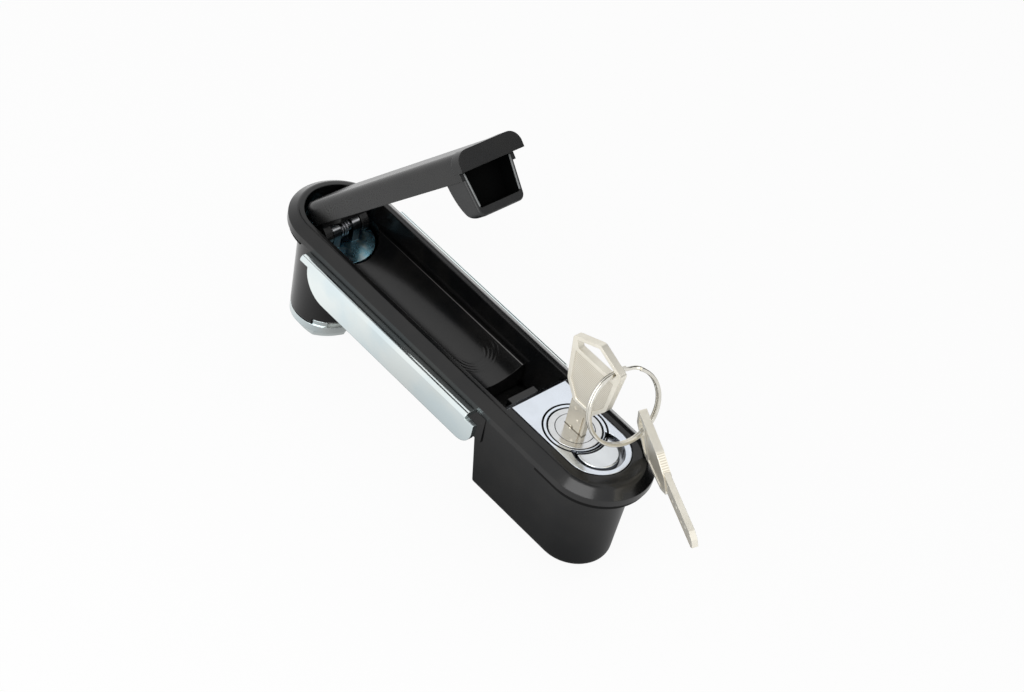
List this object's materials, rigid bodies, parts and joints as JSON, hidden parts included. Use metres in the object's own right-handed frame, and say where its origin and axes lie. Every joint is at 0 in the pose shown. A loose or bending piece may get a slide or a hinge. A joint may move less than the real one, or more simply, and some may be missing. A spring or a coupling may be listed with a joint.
{
  "type": "flush swing-handle lock",
  "caption": "Flush swing-handle lock for a cabinet door: raised handle on a spindle, key cylinder, release button, clamp bracket, key, spare key and ring.",
  "frame": {"origin": "on the spindle axis, in the plane where the flange seats on the door's outer face", "axes": "+X along the housing from the spindle to the lock, +Z out of the door towards the user"},
  "size_m": [0.1925, 0.0436, 0.118],
  "materials": {
    "black_housing": "satin black coating on die-cast zinc",
    "black_handle": "satin black coating on die-cast zinc",
    "dark_hood": "moulded dark grey plastic, fine matt grain",
    "dark_cover": "moulded black plastic",
    "bright_block": "bright plated, fine brushed top",
    "bright_cylinder": "bright plated, turned face",
    "bright_button": "bright plated, fine brushed top",
    "zinc_bracket": "bright zinc plated sheet with a faint blue tint",
    "zinc_hardware": "bright zinc plated",
    "spindle_steel": "blue passivated steel",
    "dark_bolt": "black oxide on steel",
    "spring_steel": "spring wire",
    "bearing_plastic": "plain moulded bearing plastic",
    "seal_rubber": "black rubber",
    "brass_works": "stamped brass",
    "nickel_key": "warm nickel plated brass, fine cross lines on the bow",
    "nickel_ring": "nickel plated spring wire"
  },
  "bodies": {
    "base": {"base_housing": "black_housing", "end_seals": "seal_rubber", "rear_cover": "dark_cover", "cover_screws": "zinc_hardware", "block_screws": "zinc_hardware", "spindle_bush": "bearing_plastic", "lock_block": "bright_block", "cylinder_shell": "bright_cylinder", "clamp_bracket": "zinc_bracket", "bracket_screws": "zinc_hardware", "bracket_washers": "zinc_hardware"},
    "spindle": {"spindle_fork": "spindle_steel", "seal_ring": "seal_rubber", "stop_washer": "zinc_hardware", "spindle_nut": "zinc_hardware"},
    "handle": {"handle_lever": "black_handle", "handle_hood": "dark_hood", "hinge_pin": "spindle_steel", "pop_up_spring": "spring_steel"},
    "plug": {"cylinder_plug": "bright_cylinder", "wafers": "brass_works", "plug_cam": "brass_works", "cam_screw": "zinc_hardware"},
    "key": {"key": "nickel_key"},
    "ring": {"split_ring": "nickel_ring"},
    "spare": {"spare_key": "nickel_key"},
    "button": {"release_button": "bright_button", "button_spring": "spring_steel"},
    "bolt": {"lock_bolt": "dark_bolt"}
  },
  "joints": [
    {"name": "spindle_swing", "type": "hinge", "parent": "base", "child": "spindle", "pos_m": [0, 0, 0], "axis": [0, 0, 1], "range_deg": [0, 90]},
    {"name": "handle_lift", "type": "hinge", "parent": "spindle", "child": "handle", "pos_m": [0, 0, -0.0021], "axis": [0, -1, 0], "range_deg": [-48.8, 0], "stiffness_Nm_per_rad": 0.05, "springref_deg": 114.59},
    {"name": "key_turn", "type": "hinge", "parent": "base", "child": "plug", "pos_m": [0.113, 0, 0], "axis": [0, 0, -1], "range_deg": [0, 90]},
    {"name": "key_withdraw", "type": "slide", "parent": "plug", "child": "key", "axis": [0, 0, 1], "range_m": [0, 0.03]},
    {"name": "ring_swing", "type": "hinge", "parent": "key", "child": "ring", "pos_m": [0.12126, 0, 0.03643], "axis": [-0.1025, -0.963, -0.2492], "range_deg": [-4, 50]},
    {"name": "spare_key_swing", "type": "hinge", "parent": "ring", "child": "spare", "pos_m": [0.13126, 0.00913, 0.01596], "axis": [-0.0535, 0.8209, 0.5686], "range_deg": [-30, 12]},
    {"name": "button_press", "type": "slide", "parent": "base", "child": "button", "axis": [0, 0, -1], "range_m": [0, 0.003], "stiffness_N_per_m": 800, "springref_m": -0.002, "deforming": ["button_spring"]},
    {"name": "bolt_throw", "type": "slide", "parent": "base", "child": "bolt", "axis": [-1, 0, 0], "range_m": [0, 0.003]}
  ],
  "couplings": [
    {"joint": "bolt_throw", "follows": "button_press", "ratio": 1}
  ]
}
